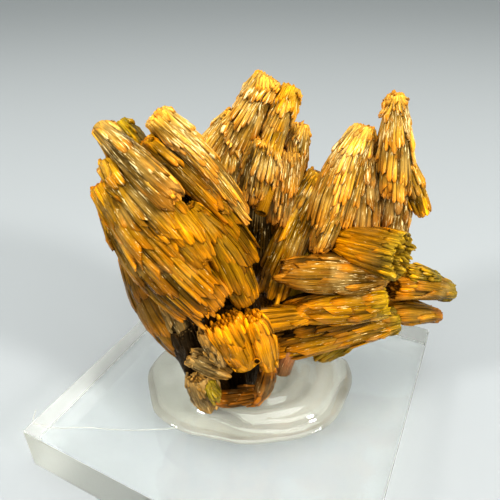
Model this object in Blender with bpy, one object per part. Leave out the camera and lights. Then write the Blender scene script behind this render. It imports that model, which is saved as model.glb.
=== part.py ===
"""Pyromorphite specimen: sheaves of intergrown prisms, glued to a clear acrylic block.

Lengths are metres and +Z is up. The origin is the centre of the block's underside, and X and Y run
along the block's sides. The crystals are laid out in the display frame, which is the same frame
turned about Z so that its X runs across the side that the specimen is shown from.
"""

import math
import random
from collections import namedtuple

import bmesh
import bpy
from mathutils import Matrix, Vector

MM = 0.001

# Acrylic block
BLOCK_SIDE = 38 * MM
BLOCK_THICK = 6 * MM
BLOCK_EDGE = 0.25 * MM

# How far the display side is turned from the block's front side
DISPLAY_TURN = math.radians(26.5)

# Gap kept between two pieces that touch
TOUCH_GAP = 0.3 * MM

# Glue puddle, in the display frame
GLUE_CENTRE = (-0.2 * MM, -2.0 * MM)
GLUE_HEIGHT = 2.6 * MM
GLUE_SIDES = 30
# How far the puddle spreads, as pairs of a direction in degrees and a radius in millimetres
GLUE_OUTLINE = (
    (0, 12.6), (19, 13.5), (35, 11.2), (60, 9.2), (90, 8.4), (125, 10.2), (151, 12.9), (172, 12.6),
    (200, 11.6), (235, 8.9), (268, 8.1), (295, 8.8), (321, 10.3), (342, 11.6), (360, 12.6),
)

# Direction in which the specimen is looked at, in the display frame
LOOK = Vector((0, 0.854, -0.521))

# Clean-up after the crystals are united: the shortest edge kept, and the angle below which two faces
# are one flat face
TINY_EDGE = 0.002 * MM
FLAT_ANGLE = math.radians(1)

# Crystals
CORE_SIDES = 6
SHARD_SIDES = 5
CLUSTER_SEED = 11
GOLDEN_ANGLE = math.radians(137.5)

# One sheaf of parallel crystals, in millimetres and in the display frame. It runs from its blunt outer
# end to its stepped inner end. The sizes are half its width across the look and half its depth along
# it, at the outer end, in the middle and at the inner end. bow moves its middle, and shards is the
# number of single crystals that stand out of it.
Sheaf = namedtuple("Sheaf", "name outer inner outer_size middle_size inner_size bow shards")

LEFT_FAN = (
    Sheaf("crest", (-12.3, -4.8, 39.0), (-6.5, -7.6, 34.1), (0.9, 1.2), (1.3, 1.5), (1.3, 1.4), (0, 0, 0), 5),
    Sheaf("upper", (-12.0, -4.8, 36.2), (-6.2, -7.0, 30.2), (1.3, 1.6), (1.8, 2.0), (1.5, 1.6), (0, 0, 0), 4),
    Sheaf("smooth", (-8.0, -6.0, 33.2), (-4.2, -7.4, 28.0), (1.4, 1.4), (1.6, 1.4), (1.3, 1.1), (0, 0, 0), 3),
    Sheaf("broad", (-12.7, -5.0, 34.4), (-3.8, -6.8, 22.6), (1.6, 1.8), (2.3, 2.2), (2.2, 2.0), (-0.4, -0.6, 0.6), 6),
    Sheaf("lower", (-12.6, -5.0, 32.2), (-5.6, -6.4, 21.8), (1.3, 1.7), (2.0, 2.1), (1.8, 1.8), (-0.4, -0.4, 0), 5),
    Sheaf("edge", (-12.0, -4.4, 29.4), (-7.6, -5.6, 21.8), (1.0, 1.4), (1.4, 1.7), (1.2, 1.4), (-0.2, 0, 0), 3),
    Sheaf("spindle", (-5.8, -4.6, 32.4), (-0.5, -4.8, 21.8), (0.6, 1.0), (1.7, 1.8), (1.5, 1.6), (0.2, 0, 0.3), 4),
    Sheaf("ridge", (-8.2, -1.8, 39.2), (-0.7, -1.2, 29.3), (1.3, 1.4), (1.3, 1.6), (0.7, 1.0), (0.2, 0, 0.4), 4),
    Sheaf("ridge_under", (-9.2, -2.6, 37.0), (-3.2, -2.8, 30.6), (0.9, 1.4), (1.3, 1.6), (1.0, 1.3), (0, 0, 0), 2),
    Sheaf("ridge_low", (-4.2, -2.2, 31.6), (0.0, -1.2, 24.4), (1.2, 1.4), (1.3, 1.5), (1.0, 1.3), (0, 0, 0), 3),
    Sheaf("ridge_root", (-9.0, -0.8, 33.8), (-2.6, -0.8, 24.4), (1.8, 1.8), (2.1, 1.8), (1.6, 1.6), (0, 0, 0), 0),
    Sheaf("knob", (-12.0, -0.4, 38.0), (-8.2, -1.6, 33.4), (1.0, 1.2), (1.3, 1.6), (1.3, 1.5), (0, 0, 0), 2),
    Sheaf("belly", (-11.6, -3.4, 26.0), (-7.2, -3.6, 13.8), (1.5, 2.0), (2.1, 2.4), (1.5, 1.8), (-0.5, 0, -0.3), 3),
    Sheaf("fibres", (-8.8, -4.4, 21.4), (-6.2, -4.6, 14.2), (1.3, 1.4), (1.4, 1.4), (1.0, 1.1), (0, 0, 0), 2),
    Sheaf("heart", (-10.6, -2.6, 34.0), (-4.2, -4.2, 19.0), (1.8, 2.0), (2.6, 2.6), (2.2, 2.2), (-0.2, 0, 0.2), 0),
    Sheaf("back", (-11.2, 0.6, 35.0), (-3.0, 0.2, 19.0), (1.8, 1.8), (2.8, 2.4), (2.4, 2.2), (-0.4, 0.4, 0.2), 4),
    Sheaf("back_low", (-10.6, -0.6, 27.5), (-3.6, -1.0, 12.0), (1.8, 1.8), (2.3, 2.3), (2.0, 2.0), (0, 0.4, 0), 3),
)

CENTRE_SPIRE = (
    Sheaf("tall", (1.8, 5.0, 41.0), (-2.6, 4.2, 32.6), (1.4, 1.5), (1.8, 2.0), (2.0, 2.2), (0, 0, 0), 5),
    Sheaf("tall_left", (-1.4, 4.8, 37.6), (-4.8, 4.0, 32.4), (1.0, 1.3), (1.4, 1.6), (1.3, 1.4), (0, 0, 0), 3),
    Sheaf("bright", (4.1, 4.6, 40.2), (0.8, 3.4, 32.0), (1.0, 1.3), (1.4, 1.6), (1.5, 1.6), (0, 0, 0), 4),
    Sheaf("right", (5.5, 6.2, 36.0), (4.6, 4.6, 27.6), (0.7, 1.1), (1.0, 1.4), (1.2, 1.4), (0, 0, 0), 3),
    Sheaf("tier_left", (-1.6, 4.2, 35.4), (-3.2, 2.8, 29.2), (1.5, 1.6), (1.9, 1.8), (1.8, 1.7), (0, 0, 0), 4),
    Sheaf("tier_middle", (1.6, 3.6, 35.2), (0.2, 2.0, 29.2), (1.5, 1.6), (1.9, 1.7), (1.8, 1.6), (0, 0, 0), 4),
    Sheaf("tier_right", (4.0, 4.6, 33.6), (3.0, 2.8, 26.4), (1.3, 1.5), (1.6, 1.7), (1.4, 1.5), (0, 0, 0), 3),
    Sheaf("hollow_prism", (2.4, 3.0, 31.2), (1.1, -0.2, 28.8), (0.6, 0.6), (0.7, 0.7), (0.7, 0.7), (0, 0, 0), 0),
    Sheaf("stem", (1.0, 4.6, 31.0), (0.9, 3.2, 19.4), (1.8, 1.6), (2.0, 1.6), (1.7, 1.4), (0, 0, 0), 0),
    Sheaf("stem_left", (-1.2, 4.2, 32.0), (-3.6, 0.6, 18.0), (1.9, 1.8), (1.9, 1.8), (1.8, 1.8), (0, 0.4, 0), 2),
    Sheaf("stem_right", (2.6, 4.6, 32.0), (5.6, 3.0, 15.0), (2.0, 1.8), (2.0, 1.9), (2.1, 2.0), (0, 0.4, 0), 2),
    Sheaf("back", (1.0, 7.4, 37.6), (-1.2, 6.0, 24.6), (2.0, 1.5), (2.7, 1.9), (2.6, 1.9), (0, 0.2, 0), 4),
    Sheaf("back_low", (3.4, 6.8, 31.0), (5.6, 4.8, 17.0), (2.0, 1.7), (2.3, 2.0), (2.0, 2.0), (0, 0.4, 0), 3),
)

RIGHT_FAN = (
    Sheaf("spire", (13.9, 3.0, 39.8), (15.0, 2.2, 30.2), (1.0, 1.3), (1.7, 1.8), (2.0, 2.0), (0, 0, 0), 5),
    Sheaf("spire_flare", (15.2, 2.8, 34.0), (18.2, 1.8, 28.0), (1.0, 1.2), (1.1, 1.2), (0.8, 0.9), (0, 0, 0), 1),
    Sheaf("spire_low", (15.2, 3.2, 31.5), (15.7, 2.4, 22.0), (1.6, 1.6), (1.8, 1.7), (1.6, 1.6), (0, 0, 0), 2),
    Sheaf("fan", (11.6, 4.0, 36.4), (8.6, 2.0, 27.0), (1.2, 1.5), (2.3, 2.0), (2.6, 2.1), (-0.2, 0, 0.2), 5),
    Sheaf("fan_side", (12.2, 3.6, 33.6), (12.0, 1.6, 25.0), (1.3, 1.5), (1.6, 1.7), (1.6, 1.6), (0, 0, 0), 3),
    Sheaf("fan_front", (9.6, 2.0, 29.8), (7.2, -0.2, 24.5), (1.0, 1.1), (1.3, 1.2), (1.0, 1.0), (0, 0, 0), 2),
    Sheaf("flank", (7.8, 4.8, 31.0), (2.8, 1.4, 18.0), (1.7, 1.8), (2.3, 2.3), (2.4, 2.3), (-0.3, 0, 0.2), 4),
    Sheaf("flank_low", (6.0, 3.0, 23.0), (4.1, 1.0, 13.0), (2.4, 2.2), (2.5, 2.3), (2.2, 2.2), (0, 0, 0), 2),
    Sheaf("back", (12.2, 6.0, 34.4), (7.6, 4.6, 20.0), (1.9, 1.6), (2.8, 2.0), (2.6, 2.0), (0, 0.3, 0.2), 4),
    Sheaf("back_low", (14.6, 4.4, 26.4), (6.6, 3.2, 15.6), (2.0, 1.8), (2.6, 2.2), (2.4, 2.2), (0, 0.3, 0), 3),
)

SHELF = (
    Sheaf("top", (15.0, -3.4, 25.6), (9.2, 1.5, 24.8), (2.6, 2.3), (2.2, 2.0), (1.3, 1.4), (0, 0, 0), 3),
    Sheaf("middle", (14.4, -1.4, 21.8), (3.9, -1.2, 22.4), (1.2, 1.3), (2.1, 1.8), (1.4, 1.4), (0, 0, 0), 4),
    Sheaf("front", (14.6, -2.2, 19.2), (5.4, -2.2, 17.7), (1.9, 1.9), (1.9, 1.9), (1.2, 1.4), (0, 0, 0), 4),
    Sheaf("left", (6.6, -2.4, 17.5), (-1.2, -3.2, 17.0), (1.0, 1.2), (1.4, 1.5), (1.0, 1.2), (0, 0, 0), 2),
    Sheaf("low", (17.0, 0.0, 14.9), (2.8, -2.0, 12.1), (1.6, 1.8), (1.8, 1.9), (1.5, 1.7), (0, 0, 0), 4),
    Sheaf("between", (14.6, -1.0, 17.0), (5.4, -1.8, 14.9), (1.1, 1.2), (1.4, 1.5), (1.1, 1.2), (0, 0, 0), 1),
    Sheaf("end_upper", (23.5, 2.0, 17.4), (16.6, 1.0, 19.0), (1.2, 1.4), (1.6, 1.7), (1.6, 1.6), (0, 0, 0.4), 3),
    Sheaf("end_top", (21.4, 1.8, 19.4), (17.6, 1.2, 20.6), (0.8, 1.1), (1.1, 1.3), (1.0, 1.2), (0, 0, 0), 1),
    Sheaf("end_lower", (22.8, 2.0, 13.8), (16.4, 1.0, 14.9), (0.9, 1.2), (1.2, 1.4), (1.2, 1.4), (0, 0, 0), 2),
    Sheaf("back", (19.6, 3.8, 17.6), (8.0, 2.6, 16.0), (2.0, 1.8), (2.6, 2.2), (2.6, 2.2), (0, 0.3, 0), 3),
    Sheaf("root", (14.8, 0.8, 18.6), (4.0, 0.2, 15.4), (2.5, 1.8), (3.0, 2.2), (3.0, 2.4), (0, 0, 0), 0),
    Sheaf("fringe", (12.4, 0.8, 12.8), (8.6, 1.4, 8.2), (1.8, 1.6), (1.9, 1.7), (1.4, 1.5), (0, 0, 0), 3),
)

FOOT = (
    Sheaf("front", (0.7, -6.8, 15.1), (-2.8, -6.2, 19.4), (2.6, 1.7), (2.8, 1.8), (2.6, 1.8), (0, 0, 0), 4),
    Sheaf("brown", (-6.4, -6.2, 15.2), (-2.6, -6.6, 13.2), (1.1, 1.3), (1.3, 1.4), (1.0, 1.2), (0, 0, 0), 2),
    Sheaf("left", (-5.6, -6.6, 12.8), (-4.6, -6.4, 8.0), (1.5, 1.5), (1.8, 1.7), (1.6, 1.5), (0, 0, 0), 2),
    Sheaf("rim_right", (1.9, -6.6, 14.4), (0.8, -6.8, 9.4), (0.8, 1.1), (1.0, 1.3), (0.9, 1.2), (0.4, 0, 0), 1),
    Sheaf("rim_low", (1.4, -6.6, 10.0), (-3.6, -6.6, 9.0), (0.9, 1.2), (1.0, 1.3), (0.9, 1.2), (0, 0, -0.4), 1),
    Sheaf("root", (-7.2, -4.2, 18.0), (-3.6, -4.4, 8.2), (2.0, 2.0), (2.1, 2.2), (2.0, 2.0), (-0.3, 0, -0.3), 0),
    Sheaf("core", (-2.0, -3.2, 20.8), (-1.4, -3.2, 8.0), (2.8, 1.8), (3.2, 1.9), (2.8, 1.8), (0, 0, 0), 2),
    Sheaf("prism", (4.0, -2.2, 13.0), (3.4, -2.8, 7.6), (1.1, 1.2), (1.3, 1.3), (1.2, 1.2), (0, 0, 0), 0),
    Sheaf("back", (2.4, 1.6, 16.6), (3.4, 1.2, 7.8), (2.6, 2.0), (3.0, 2.2), (2.6, 2.0), (0, 0, 0), 1),
)

# The sheaves that reach down into the glue
IN_GLUE = FOOT + SHELF[-1:]


def remove_everything():
    """Empties the file of objects, so that the script can be run again."""
    for item in list(bpy.data.objects):
        bpy.data.objects.remove(item, do_unlink=True)


def principled(name, colour, roughness, metallic=0.0, transmission=0.0, ior=1.5):
    """A Principled material of one colour."""
    material = bpy.data.materials.new(name)
    material.use_nodes = True
    shader = material.node_tree.nodes["Principled BSDF"]
    shader.inputs["Base Color"].default_value = (*colour, 1.0)
    shader.inputs["Roughness"].default_value = roughness
    shader.inputs["Metallic"].default_value = metallic
    shader.inputs["Transmission Weight"].default_value = transmission
    shader.inputs["IOR"].default_value = ior
    return material


def add_object(name, mesh_data, material, parent=None):
    """Links a new object with the given mesh, material and parent."""
    item = bpy.data.objects.new(name, mesh_data)
    item.data.materials.clear()
    item.data.materials.append(material)
    item.parent = parent
    bpy.context.collection.objects.link(item)
    return item


def through_three(first, middle, last, t):
    """The value at t of the parabola that has the three values at 0, 0.5 and 1."""
    return first * (1 - t) * (1 - 2 * t) + middle * 4 * t * (1 - t) + last * t * (2 * t - 1)


def centre_line(sheaf, t):
    """The point on a sheaf's centre line at t: 0 at its outer end and 1 at its inner end."""
    outer = Vector(sheaf.outer)
    inner = Vector(sheaf.inner)
    return (outer.lerp(inner, t) + Vector(sheaf.bow) * 4 * t * (1 - t)) * MM


def half_sizes(sheaf, t):
    """Half the width and half the depth of a sheaf at t."""
    width = through_three(sheaf.outer_size[0], sheaf.middle_size[0], sheaf.inner_size[0], t)
    depth = through_three(sheaf.outer_size[1], sheaf.middle_size[1], sheaf.inner_size[1], t)
    return width * MM, depth * MM


def cross_directions(sheaf):
    """The directions along a sheaf, across it, and through its depth."""
    along = (Vector(sheaf.inner) - Vector(sheaf.outer)).normalized()
    across = along.cross(LOOK).normalized()
    return along, across, across.cross(along)


def skin(bm, rings):
    """Joins rings of points, each with the same number of points, into one closed body."""
    loops = []
    for ring in rings:
        loops.append([bm.verts.new(point) for point in ring])
    count = len(loops[0])
    faces = []
    for lower, upper in zip(loops, loops[1:]):
        for i in range(count):
            j = (i + 1) % count
            faces.append(bm.faces.new((lower[i], lower[j], upper[j], upper[i])))
    faces.append(bm.faces.new(list(reversed(loops[0]))))
    faces.append(bm.faces.new(loops[-1]))
    return faces


def mesh_from_rings(name, rings):
    """A closed mesh with its faces turned outward, made from rings of points."""
    bm = bmesh.new()
    skin(bm, rings)
    bmesh.ops.recalc_face_normals(bm, faces=bm.faces)
    bmesh.ops.triangulate(bm, faces=bm.faces)
    mesh_data = bpy.data.meshes.new(name)
    bm.to_mesh(mesh_data)
    bm.free()
    return mesh_data


def core_rings(sheaf, rng, grow=0.0):
    """Rings of the body of a sheaf, six-sided like one thick crystal."""
    along, across, deep = cross_directions(sheaf)
    turn = rng.uniform(0, math.tau / CORE_SIDES)
    radii = [rng.uniform(0.92, 1.08) for _ in range(CORE_SIDES)]
    slopes = [rng.uniform(-0.35, 0.35) for _ in range(4)]
    rings = []
    for t in (0.0, 0.5, 1.0):
        width, depth = half_sizes(sheaf, t)
        centre = centre_line(sheaf, t)
        ring = []
        for i in range(CORE_SIDES):
            angle = turn + math.tau * i / CORE_SIDES
            x = math.cos(angle) * (width * radii[i] + grow)
            y = math.sin(angle) * (depth * radii[i] + grow)
            point = centre + across * x + deep * y
            if t == 0.0:
                point += along * (slopes[0] * x + slopes[1] * y - grow)
            if t == 1.0:
                point += along * (slopes[2] * x + slopes[3] * y + grow)
            ring.append(point)
        rings.append(ring)
    return rings


def shard_rings(sheaf, number, rng, grow=0.0):
    """Rings of one single crystal that stands out of a sheaf and ends in a slanted tip."""
    along, across, deep = cross_directions(sheaf)
    length = (Vector(sheaf.inner) - Vector(sheaf.outer)).length * MM
    angle = number * GOLDEN_ANGLE + rng.uniform(-0.5, 0.5)
    start = rng.uniform(-0.04, 0.45)
    end = min(start + rng.uniform(0.45, 0.62), 1.12)
    mean_size = sum(half_sizes(sheaf, 0.5)) / 2
    radius = mean_size * rng.uniform(0.34, 0.46)
    slant = rng.uniform(0.3, 0.9)
    turn = rng.uniform(0, math.tau)
    rings = []
    for step, thickness in ((0.0, 0.9), (1.0, 0.8)):
        t = start + (end - start) * step
        reach = 0.62 + 0.16 * step
        width, depth = half_sizes(sheaf, min(max(t, 0), 1))
        axis_point = centre_line(sheaf, min(max(t, 0), 1)) + along * (t - min(max(t, 0), 1)) * length
        outward = across * math.cos(angle) * width + deep * math.sin(angle) * depth
        centre = axis_point + outward * reach
        ring = []
        for i in range(SHARD_SIDES):
            corner = turn + math.tau * i / SHARD_SIDES
            offset = across * math.cos(corner) + deep * math.sin(corner)
            point = centre + offset * (radius * thickness + grow)
            lean = offset.dot(outward.normalized()) * radius * slant
            if step == 0.0:
                point -= along * (lean * 0.4 + grow)
            else:
                point += along * (grow - lean)
            ring.append(point)
        rings.append(ring)
    return rings


def sheaf_bodies(sheaf, number, grow=0.0):
    """All bodies of one sheaf, each as its rings of points. The same number gives the same bodies."""
    rng = random.Random(CLUSTER_SEED * 1000 + number)
    bodies = [core_rings(sheaf, rng, grow)]
    for shard in range(sheaf.shards):
        bodies.append(shard_rings(sheaf, shard, rng, grow))
    return bodies


def combine(name, first, others, operation):
    """The mesh that a Boolean makes of one closed mesh and a list of other closed meshes."""
    tools = bpy.data.collections.new(name + "_tools")
    bpy.context.scene.collection.children.link(tools)
    items = [bpy.data.objects.new(name, first)]
    bpy.context.scene.collection.objects.link(items[0])
    for mesh_data in others:
        item = bpy.data.objects.new(mesh_data.name, mesh_data)
        item.hide_render = True
        item.display_type = "WIRE"
        tools.objects.link(item)
        items.append(item)
    modifier = items[0].modifiers.new("Combine", "BOOLEAN")
    modifier.operation = operation
    modifier.operand_type = "COLLECTION"
    modifier.collection = tools
    modifier.solver = "EXACT"
    depsgraph = bpy.context.evaluated_depsgraph_get()
    result = bpy.data.meshes.new_from_object(items[0].evaluated_get(depsgraph))
    result.name = name
    for item in items:
        bpy.data.objects.remove(item, do_unlink=True)
    bpy.data.collections.remove(tools)
    return result


def keep_largest_island(mesh_data):
    """Keeps the largest connected surface of a mesh, which drops the hollows sealed inside it."""
    bm = bmesh.new()
    bm.from_mesh(mesh_data)
    seen = set()
    islands = []
    for first in bm.verts:
        if first in seen:
            continue
        seen.add(first)
        island = [first]
        for vert in island:
            for edge in vert.link_edges:
                other = edge.other_vert(vert)
                if other not in seen:
                    seen.add(other)
                    island.append(other)
        islands.append(island)
    islands.sort(key=len)
    spare = [vert for island in islands[:-1] for vert in island]
    bmesh.ops.delete(bm, geom=spare, context="VERTS")
    bmesh.ops.dissolve_degenerate(bm, edges=bm.edges, dist=TINY_EDGE)
    bmesh.ops.dissolve_limit(bm, angle_limit=FLAT_ANGLE, verts=bm.verts, edges=bm.edges)
    bmesh.ops.triangulate(bm, faces=bm.faces)
    bm.to_mesh(mesh_data)
    bm.free()


def make_block(parent):
    """The clear acrylic block with its arrises taken off."""
    bm = bmesh.new()
    bmesh.ops.create_cube(bm, size=1.0)
    bmesh.ops.scale(bm, vec=(BLOCK_SIDE, BLOCK_SIDE, BLOCK_THICK), verts=bm.verts)
    bmesh.ops.translate(bm, vec=(0, 0, BLOCK_THICK / 2), verts=bm.verts)
    mesh_data = bpy.data.meshes.new("acrylic_base")
    bm.to_mesh(mesh_data)
    bm.free()
    acrylic = principled("clear acrylic", (0.93, 0.95, 0.94), 0.08, transmission=0.9, ior=1.49)
    block = add_object("acrylic_base", mesh_data, acrylic, parent)
    bevel = block.modifiers.new("Arrises", "BEVEL")
    bevel.width = BLOCK_EDGE
    bevel.segments = 1
    return block


def glue_reach(degrees):
    """How far the glue puddle spreads in a direction."""
    for (low, near), (high, far) in zip(GLUE_OUTLINE, GLUE_OUTLINE[1:]):
        if degrees <= high:
            blend = (1 - math.cos(math.pi * (degrees - low) / (high - low))) / 2
            return (near + (far - near) * blend) * MM
    return GLUE_OUTLINE[-1][1] * MM


def glue_ring(share, height):
    """One ring of the glue puddle, at a share of its full spread and at a height."""
    ring = []
    for i in range(GLUE_SIDES):
        degrees = 360 * i / GLUE_SIDES
        reach = share * glue_reach(degrees)
        x = GLUE_CENTRE[0] + math.cos(math.radians(degrees)) * reach
        y = GLUE_CENTRE[1] + math.sin(math.radians(degrees)) * reach
        ring.append(Vector((x, y, height)))
    return ring


def make_glue(sheaves, parent):
    """The glue puddle, with a pocket that the foot of the crystals stands in."""
    floor = BLOCK_THICK + TOUCH_GAP
    rings = [
        glue_ring(0.96, floor),
        glue_ring(1.0, floor + 0.3 * MM),
        glue_ring(0.95, floor + 0.7 * MM),
        glue_ring(0.74, floor + 1.0 * MM),
        glue_ring(0.62, floor + GLUE_HEIGHT * 0.8),
        glue_ring(0.48, floor + GLUE_HEIGHT),
    ]
    puddle = mesh_from_rings("puddle", rings)
    foot = []
    for number, sheaf in enumerate(sheaves):
        if sheaf in IN_GLUE:
            for body in sheaf_bodies(sheaf, number, TOUCH_GAP * 1.5):
                foot.append(mesh_from_rings("foot", body))
    glue = principled("clear hot-melt glue", (0.9, 0.91, 0.9), 0.15, transmission=0.85, ior=1.48)
    return add_object("clear_glue", combine("clear_glue", puddle, foot, "DIFFERENCE"), glue, parent)


def make_cluster(sheaves, parent):
    """The whole crystal cluster as one solid."""
    crystal = principled("orange pyromorphite", (0.58, 0.27, 0.03), 0.35, ior=2.05)
    bodies = []
    for number, sheaf in enumerate(sheaves):
        for rings in sheaf_bodies(sheaf, number):
            bodies.append(mesh_from_rings("crystal", rings))
    united = combine("crystal_cluster", bodies[0], bodies[1:], "UNION")
    keep_largest_island(united)
    return add_object("crystal_cluster", united, crystal, parent)


def main():
    remove_everything()
    display = bpy.data.objects.new("display_frame", None)
    display.rotation_euler = (0, 0, DISPLAY_TURN)
    bpy.context.collection.objects.link(display)
    sheaves = LEFT_FAN + CENTRE_SPIRE + RIGHT_FAN + SHELF + FOOT
    make_block(None)
    make_cluster(sheaves, display)
    make_glue(sheaves, display)


main()
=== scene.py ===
"""Pyromorphite specimen on its acrylic block: the looks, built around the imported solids.

The crystals follow a table of sheaves. Each sheaf gets a core, and hundreds of single crystals whose
tips step down along it. Sizes in the table are millimetres in the display frame, which is the part's
frame turned about Z so that its X runs across the side that is shown.
"""

import math
from collections import namedtuple

import bmesh
import bpy
import numpy as np
from mathutils import Matrix, Vector


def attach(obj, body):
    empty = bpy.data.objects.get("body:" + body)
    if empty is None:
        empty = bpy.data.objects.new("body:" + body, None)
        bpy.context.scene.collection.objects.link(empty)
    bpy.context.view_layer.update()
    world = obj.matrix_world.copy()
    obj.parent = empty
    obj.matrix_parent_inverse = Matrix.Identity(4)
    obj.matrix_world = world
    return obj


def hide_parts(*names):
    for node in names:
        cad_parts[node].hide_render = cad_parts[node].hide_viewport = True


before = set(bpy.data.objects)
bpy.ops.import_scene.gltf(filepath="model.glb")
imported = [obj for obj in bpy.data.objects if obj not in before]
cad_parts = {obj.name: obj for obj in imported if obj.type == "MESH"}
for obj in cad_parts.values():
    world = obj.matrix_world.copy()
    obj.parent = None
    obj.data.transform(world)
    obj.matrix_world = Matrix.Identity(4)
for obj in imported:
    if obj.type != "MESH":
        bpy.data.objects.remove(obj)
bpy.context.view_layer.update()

MM = 0.001
DISPLAY_TURN = math.radians(26.5)
TO_ROW = Matrix.Rotation(DISPLAY_TURN, 4, "Z")

# The way the camera looks, in the display frame: a sheaf's width is measured across it
LOOK = np.array((0.0, 0.854, -0.521))

# The camera's place in the display frame in metres, how far it looks down in degrees, and its lens
CAMERA_PLACE = (0.0, -0.0437, 0.0510)
CAMERA_DOWN = 31.4
CAMERA_LENS = 34.56

# Softboxes: place in the display frame and side in metres, and power in watts
SOFTBOXES = {
    "top_softbox": ((0.05, -0.14, 0.42), 0.50, 1.65),
    "right_softbox": ((0.30, -0.20, 0.22), 0.06, 1.1),
    "left_softbox": ((-0.30, -0.15, 0.25), 0.06, 0.85),
}

# Acrylic block
BLOCK_HALF = 19 * MM
BLOCK_THICK = 6 * MM

# Glue puddle: its centre, and its outline as pairs of a direction in degrees and a radius in mm
GLUE_CENTRE = (-0.2, -2.0)
GLUE_OUTLINE = (
    (0, 12.6), (19, 13.5), (35, 11.2), (60, 9.2), (90, 8.4), (125, 10.2), (151, 12.9), (172, 12.6),
    (200, 11.6), (235, 8.9), (268, 8.1), (295, 8.8), (321, 10.3), (342, 11.6), (360, 12.6),
)
# Heights in mm: the thin skirt's rim and middle, the thick ring, the swirl on it, and the mound inside
GLUE_RIM, GLUE_SKIRT, GLUE_RING, GLUE_SWIRL, GLUE_MOUND = 0.05, 0.30, 1.05, 0.16, 0.5
# A hair of set glue over the block's top and left edge, as a path in mm
GLUE_HAIR = (
    (-8.2, -8.3, 6.10), (-10.5, -8.5, 6.06), (-14.5, -8.6, 6.06), (-18.5, -8.1, 6.06),
    (-21.5, -8.4, 6.08), (-23.6, -7.9, 6.10), (-24.5, -7.7, 6.15), (-24.6, -7.2, 6.3),
    (-24.6, -6.2, 6.6),
)
HAIR_RADIUS = 0.05 * MM

# One sheaf: its outer and inner end, half its width and half its depth at its outer end, middle and
# inner end, how far its middle bows aside, how its crystals grow, and their tint
Sheaf = namedtuple("Sheaf", "name outer inner outer_size middle_size inner_size bow habit tint")

LEFT_FAN = (
    Sheaf("crest", (-12.3, -4.8, 39.0), (-6.5, -7.6, 34.1), (0.9, 1.2), (1.3, 1.5), (1.3, 1.4),
          (0, 0, 0), "bladed", "straw"),
    Sheaf("upper", (-12.0, -4.8, 36.2), (-6.9, -7.2, 30.4), (1.3, 1.6), (1.7, 2.0), (1.4, 1.6),
          (0, 0, 0), "bladed", "gold"),
    Sheaf("smooth", (-8.0, -6.0, 33.2), (-4.2, -7.4, 28.0), (1.4, 1.4), (1.6, 1.4), (1.3, 1.1),
          (0, 0, 0), "smooth", "amber"),
    Sheaf("broad", (-12.7, -5.0, 34.4), (-3.8, -6.8, 22.6), (1.6, 1.8), (2.3, 2.2), (2.2, 2.0),
          (-0.4, -0.6, 0.6), "bladed", "ochre"),
    Sheaf("lower", (-12.6, -5.0, 32.2), (-5.6, -6.4, 21.8), (1.3, 1.7), (2.0, 2.1), (1.8, 1.8),
          (-0.4, -0.4, 0), "bladed", "ochre"),
    Sheaf("edge", (-12.0, -4.4, 29.4), (-7.6, -5.6, 21.8), (1.0, 1.4), (1.4, 1.7), (1.2, 1.4),
          (-0.2, 0, 0), "bladed", "olive"),
    Sheaf("spindle", (-5.3, -4.8, 31.9), (-0.5, -4.8, 21.8), (0.6, 1.0), (1.7, 1.8), (1.5, 1.6),
          (0.2, 0, 0.3), "smooth", "amber"),
    Sheaf("ridge", (-8.2, -1.8, 39.2), (-0.7, -1.2, 29.3), (1.3, 1.4), (1.3, 1.6), (0.7, 1.0),
          (0.2, 0, 0.4), "fine", "straw"),
    Sheaf("ridge_under", (-9.2, -2.6, 37.2), (-3.2, -2.8, 31.0), (0.9, 1.4), (1.0, 1.5), (0.9, 1.2),
          (0, 0, 0), "bladed", "ochre"),
    Sheaf("ridge_low", (-4.2, -2.2, 31.6), (0.0, -1.2, 24.4), (1.2, 1.4), (1.3, 1.5), (1.0, 1.3),
          (0, 0, 0), "bladed", "amber"),
    Sheaf("ridge_root", (-9.0, -0.8, 33.8), (-2.6, -0.8, 24.4), (1.8, 1.8), (2.1, 1.8), (1.6, 1.6),
          (0, 0, 0), "root", "bark_and_shade"),
    Sheaf("knob", (-12.0, -0.4, 38.0), (-8.2, -1.6, 33.4), (1.0, 1.2), (1.3, 1.6), (1.3, 1.5),
          (0, 0, 0), "fine", "olive"),
    Sheaf("belly", (-11.6, -3.4, 26.0), (-7.2, -3.6, 13.8), (1.5, 2.0), (2.1, 2.4), (1.5, 1.8),
          (-0.5, 0, -0.3), "smooth", "brown"),
    Sheaf("fibres", (-8.8, -4.4, 21.4), (-6.2, -4.6, 14.2), (1.3, 1.4), (1.4, 1.4), (1.0, 1.1),
          (0, 0, 0), "bladed", "umber"),
    Sheaf("heart", (-10.6, -2.6, 34.0), (-4.2, -4.2, 19.0), (1.8, 2.0), (2.6, 2.6), (2.2, 2.2),
          (-0.2, 0, 0.2), "root", "shadow"),
    Sheaf("back", (-11.2, 0.6, 35.0), (-3.0, 0.2, 19.0), (1.8, 1.8), (2.8, 2.4), (2.4, 2.2),
          (-0.4, 0.4, 0.2), "bladed", "ochre"),
    Sheaf("back_low", (-10.6, -0.6, 27.5), (-3.6, -1.0, 12.0), (1.8, 1.8), (2.3, 2.3), (2.0, 2.0),
          (0, 0.4, 0), "bladed", "olive"),
)

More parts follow.
